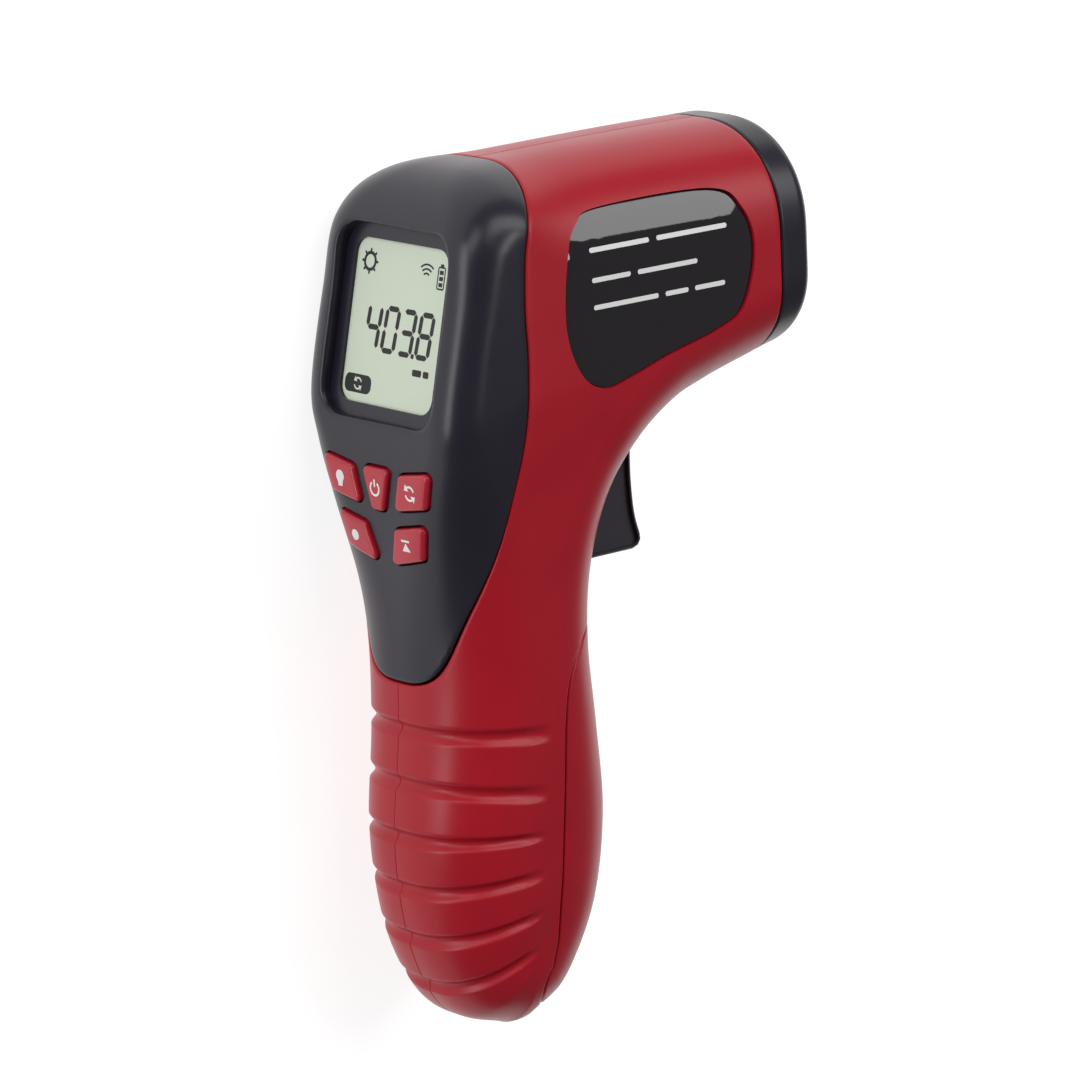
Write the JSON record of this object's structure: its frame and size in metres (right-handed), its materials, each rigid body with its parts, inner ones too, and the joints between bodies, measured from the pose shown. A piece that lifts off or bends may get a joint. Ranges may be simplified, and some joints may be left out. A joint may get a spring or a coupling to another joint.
{
  "type": "laser tachometer",
  "caption": "Pistol-grip optical tachometer with a rear display and keypad, side label, trigger, nose optics and a hinged battery door in the grip.",
  "frame": {"origin": "below the middle of the part's box, on the plane of the left flank that it lies on", "axes": "+X forward along the sight line to the nose, +Y from the grip's tip up to the barrel, +Z from the left flank to the right flank"},
  "size_m": [0.0874, 0.163, 0.0466],
  "materials": {
    "red_shell": "satin moulded plastic",
    "black_shell": "fine-textured moulded plastic",
    "gloss_black": "high gloss",
    "key_plastic": "satin gloss",
    "trigger_plastic": "satin",
    "clear_plastic": "clear",
    "display": "matt reflective display",
    "diffuser": "matt",
    "elastomer": "matt",
    "board": "solder mask",
    "switch_plastic": "matt",
    "ribbon": "satin",
    "steel": "plain",
    "tube_plastic": "matt",
    "lens_glass": "polished",
    "brass": "turned",
    "battery_case": "satin",
    "red_wire": "satin",
    "black_wire": "satin"
  },
  "bodies": {
    "instrument": {"right_housing": "red_shell", "left_housing": "red_shell", "rear_bezel": "black_shell", "nose_cap": "black_shell", "side_label": "gloss_black", "lcd_window": "clear_plastic", "lcd_panel": "display", "backlight": "diffuser", "contact_strips": "elastomer", "display_board": "board", "board_screws": "steel", "key_switches": "switch_plastic", "key_board": "board", "board_link": "ribbon", "trigger_pin": "steel", "trigger_spring": "steel", "trigger_switch": "switch_plastic", "lens_tube": "tube_plastic", "receiver_lens": "lens_glass", "lens_ring": "tube_plastic", "sensor_board": "board", "sensor": "switch_plastic", "laser_module": "brass", "battery": "battery_case", "battery_snap": "switch_plastic", "red_lead": "red_wire", "black_lead": "black_wire", "housing_screws": "steel"},
    "trigger_body": {"trigger": "trigger_plastic"},
    "door_body": {"battery_door": "red_shell", "door_pin": "steel"},
    "lamp_button_body": {"lamp_button": "key_plastic"},
    "power_button_body": {"power_button": "key_plastic"},
    "auto_button_body": {"auto_button": "key_plastic"},
    "record_button_body": {"record_button": "key_plastic"},
    "max_button_body": {"max_button": "key_plastic"}
  },
  "joints": [
    {"name": "trigger_pull", "type": "hinge", "parent": "instrument", "child": "trigger_body", "pos_m": [0.00724, 0.03154, 0.0233], "axis": [0, 0, -1], "range_deg": [0, 5], "stiffness_Nm_per_rad": 0.25, "springref_deg": -11.46, "deforming": ["trigger_spring"]},
    {"name": "door_swing", "type": "hinge", "parent": "instrument", "child": "door_body", "pos_m": [-0.01526, -0.07297, 0.0233], "axis": [0, 0, -1], "range_deg": [0, 65]},
    {"name": "lamp_press", "type": "slide", "parent": "instrument", "child": "lamp_button_body", "axis": [0.9982, 0.0593, 0], "range_m": [0, 0.0006], "stiffness_N_per_m": 600, "springref_m": -0.001},
    {"name": "power_press", "type": "slide", "parent": "instrument", "child": "power_button_body", "axis": [0.9982, 0.0593, 0], "range_m": [0, 0.0006], "stiffness_N_per_m": 600, "springref_m": -0.001},
    {"name": "auto_press", "type": "slide", "parent": "instrument", "child": "auto_button_body", "axis": [0.9982, 0.0593, 0], "range_m": [0, 0.0006], "stiffness_N_per_m": 600, "springref_m": -0.001},
    {"name": "record_press", "type": "slide", "parent": "instrument", "child": "record_button_body", "axis": [0.9982, 0.0593, 0], "range_m": [0, 0.0006], "stiffness_N_per_m": 600, "springref_m": -0.001},
    {"name": "max_press", "type": "slide", "parent": "instrument", "child": "max_button_body", "axis": [0.9982, 0.0593, 0], "range_m": [0, 0.0006], "stiffness_N_per_m": 600, "springref_m": -0.001}
  ]
}
